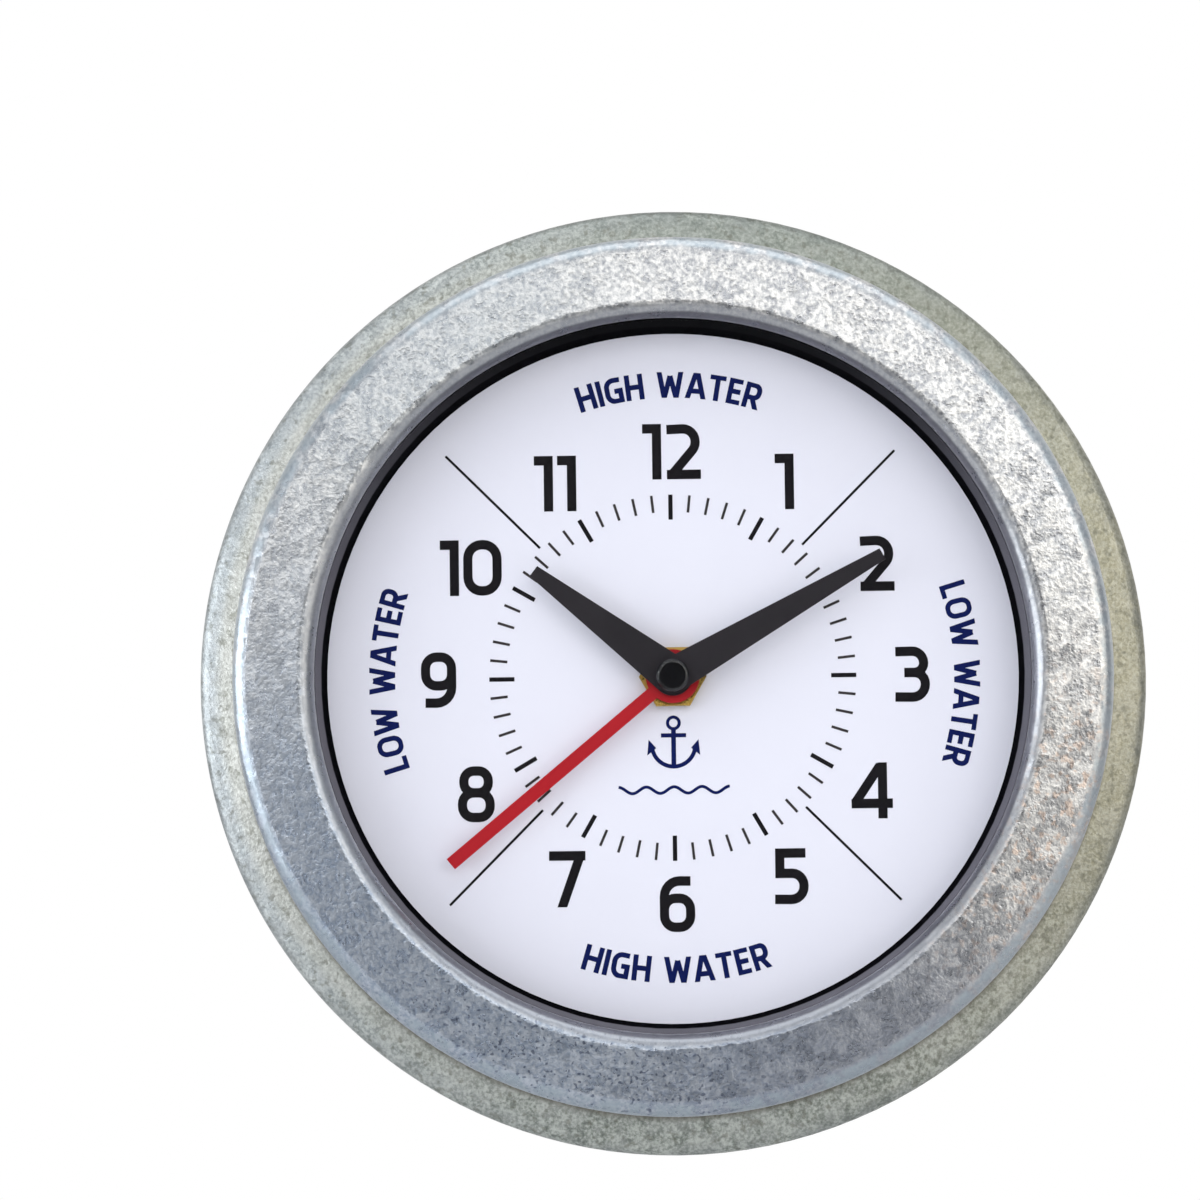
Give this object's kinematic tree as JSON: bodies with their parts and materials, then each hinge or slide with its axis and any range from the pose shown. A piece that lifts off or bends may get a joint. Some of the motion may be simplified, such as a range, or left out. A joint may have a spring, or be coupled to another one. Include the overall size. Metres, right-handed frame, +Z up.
{
  "type": "tide clock",
  "caption": "Round wall clock in a spangled zinc case, with hour and minute hands and a red tide hand on a white dial behind flat glass.",
  "frame": {"origin": "where the clock's own axis meets the wall, in the plane of the case's back rim", "axes": "+X right and +Z up as the dial is read, +Y from the dial into the wall"},
  "size_m": [0.22, 0.0408, 0.22],
  "materials": {
    "galvanised_steel": "zinc coat with a fine crystal spangle",
    "zinc_sheet": "plain zinc-coated sheet",
    "screw_steel": "bright zinc plate",
    "black_rubber": "matt",
    "clear_glass": "clear float glass",
    "black_gloss": "polished black",
    "dial_white": "satin white print",
    "brass": "turned",
    "hand_red": "satin red paint",
    "hand_black": "satin black paint",
    "housing_black": "moulded",
    "plate_grey": "moulded",
    "arbor_steel": "turned",
    "wheel_ivory": "moulded acetal",
    "rotor_magnet": "bonded magnet",
    "knob_white": "moulded",
    "knob_red": "moulded",
    "stator_iron": "annealed sheet",
    "bobbin_plastic": "moulded",
    "copper_wire": "enamelled copper winding",
    "board_green": "lacquered laminate",
    "bright_can": "plated can",
    "cell_jacket": "plain printed jacket",
    "contact_plated": "nickel plate"
  },
  "bodies": {
    "case": {"case_body": "galvanised_steel", "front_bezel": "galvanised_steel", "lens_gasket": "black_rubber", "lens_glass": "clear_glass", "dial_ring": "black_gloss", "dial_plate": "dial_white", "cover_brackets": "galvanised_steel", "back_cover": "zinc_sheet", "cover_screws": "screw_steel", "movement_front_case": "housing_black", "movement_rear_case": "housing_black", "middle_plate": "plate_grey", "threaded_bush": "brass", "rubber_washer": "black_rubber", "brass_washer": "brass", "hex_nut": "brass", "stator": "stator_iron", "coil_bobbin": "bobbin_plastic", "motor_coil": "copper_wire", "circuit_board": "board_green", "clock_chip": "black_gloss", "quartz_crystal": "bright_can", "battery_cell": "cell_jacket", "contact_positive": "contact_plated", "contact_negative": "contact_plated"},
    "minute": {"minute_arbor": "arbor_steel", "centre_wheel": "wheel_ivory", "minute_hand": "hand_black", "hand_cap": "black_gloss"},
    "hour": {"hour_wheel": "wheel_ivory", "hour_hand": "hand_black"},
    "tide": {"tide_wheel": "wheel_ivory", "tide_hand": "hand_red"},
    "minute_work": {"minute_wheel": "wheel_ivory", "time_set_knob": "knob_white"},
    "tide_work": {"tide_idler": "wheel_ivory", "tide_set_knob": "knob_red"},
    "third": {"third_wheel": "wheel_ivory"},
    "intermediate": {"intermediate_wheel": "wheel_ivory"},
    "rotor": {"rotor": "rotor_magnet"}
  },
  "joints": [
    {"name": "minute_turn", "type": "hinge", "parent": "case", "child": "minute", "pos_m": [0, 0, 0], "axis": [0, 1, 0], "continuous": true},
    {"name": "hour_turn", "type": "hinge", "parent": "case", "child": "hour", "pos_m": [0, 0, 0], "axis": [0, 1, 0], "continuous": true},
    {"name": "tide_turn", "type": "hinge", "parent": "case", "child": "tide", "pos_m": [0, 0, 0], "axis": [0, 1, 0], "continuous": true},
    {"name": "minute_work_turn", "type": "hinge", "parent": "case", "child": "minute_work", "pos_m": [0, 0, 0.0114], "axis": [0, 1, 0], "continuous": true},
    {"name": "tide_work_turn", "type": "hinge", "parent": "case", "child": "tide_work", "pos_m": [0.01116, 0, -0.00299], "axis": [0, 1, 0], "continuous": true},
    {"name": "third_turn", "type": "hinge", "parent": "case", "child": "third", "pos_m": [-0.00822, 0, 0.00299], "axis": [0, 1, 0], "continuous": true},
    {"name": "intermediate_turn", "type": "hinge", "parent": "case", "child": "intermediate", "pos_m": [-0.01385, 0, 0.0097], "axis": [0, 1, 0], "continuous": true},
    {"name": "rotor_turn", "type": "hinge", "parent": "case", "child": "rotor", "pos_m": [-0.01128, 0, 0.01674], "axis": [0, 1, 0], "continuous": true}
  ],
  "couplings": [
    {"joint": "hour_turn", "follows": "minute_turn", "ratio": 0.083333},
    {"joint": "minute_work_turn", "follows": "minute_turn", "ratio": -0.25},
    {"joint": "tide_work_turn", "follows": "minute_turn", "ratio": -0.2375},
    {"joint": "tide_turn", "follows": "minute_turn", "ratio": 0.080508},
    {"joint": "third_turn", "follows": "minute_turn", "ratio": -6},
    {"joint": "intermediate_turn", "follows": "minute_turn", "ratio": 36},
    {"joint": "rotor_turn", "follows": "minute_turn", "ratio": -180}
  ]
}
